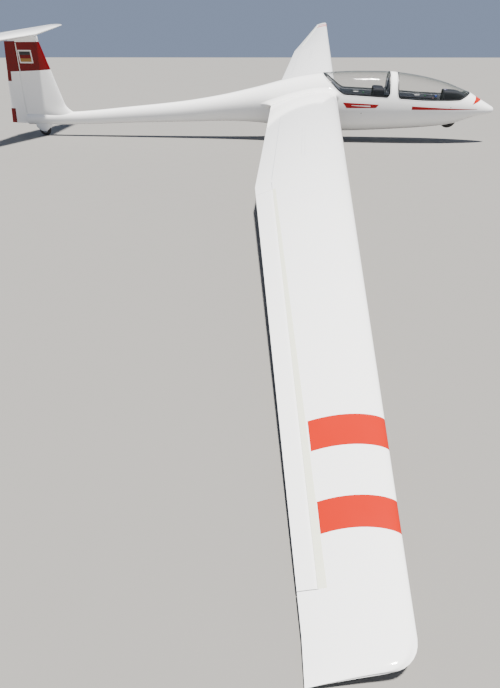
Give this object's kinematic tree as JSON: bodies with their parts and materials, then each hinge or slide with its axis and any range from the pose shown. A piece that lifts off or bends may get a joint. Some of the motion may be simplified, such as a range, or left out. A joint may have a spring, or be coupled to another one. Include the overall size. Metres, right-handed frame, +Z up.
{
  "type": "two-seat sailplane",
  "caption": "White two-seat T-tail sailplane parked on its wheels with the starboard wing tip on the ground, red fin, orange wing bands and two clear canopies.",
  "frame": {"origin": "middle of the whole aircraft's footprint, on the ground", "axes": "+X towards the tail, +Y towards the lowered starboard wing tip, +Z up"},
  "size_m": [8.1482, 17.3834, 2.0772],
  "materials": {
    "gelcoat": "white gel-coat, polished",
    "tyre_rubber": "matt black rubber",
    "alloy": "machined and anodised",
    "steel": "plain",
    "seat_cloth": "dark blue-grey padded cloth",
    "panel_black": "black crinkle finish",
    "cockpit_grey": "speckled grey cockpit lacquer",
    "clear_pane": "clear acrylic, polished",
    "canopy_frame_black": "satin black",
    "skid_rubber": "matt"
  },
  "bodies": {
    "airframe": {"wing_port": "gelcoat", "wingtip_skid_port": "skid_rubber", "side_console_port": "cockpit_grey", "wing_starboard": "gelcoat", "wingtip_skid_starboard": "skid_rubber", "side_console_starboard": "cockpit_grey", "fuselage_pod": "gelcoat", "tail_boom": "gelcoat", "fin": "gelcoat", "tailplane": "gelcoat", "tailplane_fairing": "gelcoat", "tail_wheel_fairing": "gelcoat", "main_axle": "steel", "nose_axle": "steel", "tail_axle": "steel", "seat_front": "seat_cloth", "headrest_front": "seat_cloth", "stick_front": "panel_black", "seat_rear": "seat_cloth", "headrest_rear": "seat_cloth", "stick_rear": "panel_black", "instrument_pod_front": "panel_black", "instrument_panel_rear": "panel_black", "tow_hook": "steel"},
    "aileron_port": {"aileron_port": "gelcoat"},
    "aileron_starboard": {"aileron_starboard": "gelcoat"},
    "airbrake_port": {"airbrake_port": "alloy"},
    "airbrake_starboard": {"airbrake_starboard": "alloy"},
    "rudder": {"rudder": "gelcoat"},
    "elevator": {"elevator": "gelcoat"},
    "canopy_front": {"canopy_frame_front": "canopy_frame_black", "canopy_glass_front": "clear_pane"},
    "canopy_rear": {"canopy_frame_rear": "canopy_frame_black", "canopy_glass_rear": "clear_pane"},
    "main_wheel": {"main_tyre": "tyre_rubber", "main_hub": "alloy"},
    "nose_wheel": {"nose_tyre": "tyre_rubber", "nose_hub": "alloy"},
    "tail_wheel": {"tail_tyre": "tyre_rubber", "tail_hub": "alloy"}
  },
  "joints": [
    {"name": "aileron_port_hinge", "type": "hinge", "parent": "airframe", "child": "aileron_port", "pos_m": [-0.8884, -4.9989, 1.40747], "axis": [-0.1044, -0.98, 0.1692], "range_deg": [-15, 25]},
    {"name": "aileron_starboard_hinge", "type": "hinge", "parent": "airframe", "child": "aileron_starboard", "pos_m": [-0.8884, 4.95429, 0.25233], "axis": [0.1044, -0.9927, 0.0598], "range_deg": [-15, 25]},
    {"name": "airbrake_port_slide", "type": "slide", "parent": "airframe", "child": "airbrake_port", "axis": [0, 0.1153, 0.9933], "range_m": [0, 0.07]},
    {"name": "airbrake_starboard_slide", "type": "slide", "parent": "airframe", "child": "airbrake_starboard", "axis": [0, 0.1153, 0.9933], "range_m": [0, 0.07]},
    {"name": "rudder_hinge", "type": "hinge", "parent": "airframe", "child": "rudder", "pos_m": [3.78807, -0.08404, 0.298], "axis": [-0.0728, 0.115, 0.9907], "range_deg": [-30, 30]},
    {"name": "elevator_hinge", "type": "hinge", "parent": "airframe", "child": "elevator", "pos_m": [3.71822, 0.06235, 1.55933], "axis": [0, -0.9933, 0.1153], "range_deg": [-16, 24]},
    {"name": "canopy_front_hinge", "type": "hinge", "parent": "airframe", "child": "canopy_front", "pos_m": [-2.97408, 0.32003, 0.61352], "axis": [-1, 0, 0], "range_deg": [0, 75]},
    {"name": "canopy_rear_hinge", "type": "hinge", "parent": "airframe", "child": "canopy_rear", "pos_m": [-1.97408, 0.32891, 0.69001], "axis": [-1, 0, 0], "range_deg": [0, 55]},
    {"name": "main_wheel_axle", "type": "hinge", "parent": "airframe", "child": "main_wheel", "pos_m": [-1.07408, -0.09552, 0.19907], "axis": [0, -0.9933, 0.1153], "continuous": true},
    {"name": "nose_wheel_axle", "type": "hinge", "parent": "airframe", "child": "nose_wheel", "pos_m": [-3.40408, -0.07885, 0.3427], "axis": [0, -0.9933, 0.1153], "continuous": true},
    {"name": "tail_wheel_axle", "type": "hinge", "parent": "airframe", "child": "tail_wheel", "pos_m": [3.50092, -0.10707, 0.09949], "axis": [0, -0.9933, 0.1153], "continuous": true}
  ]
}
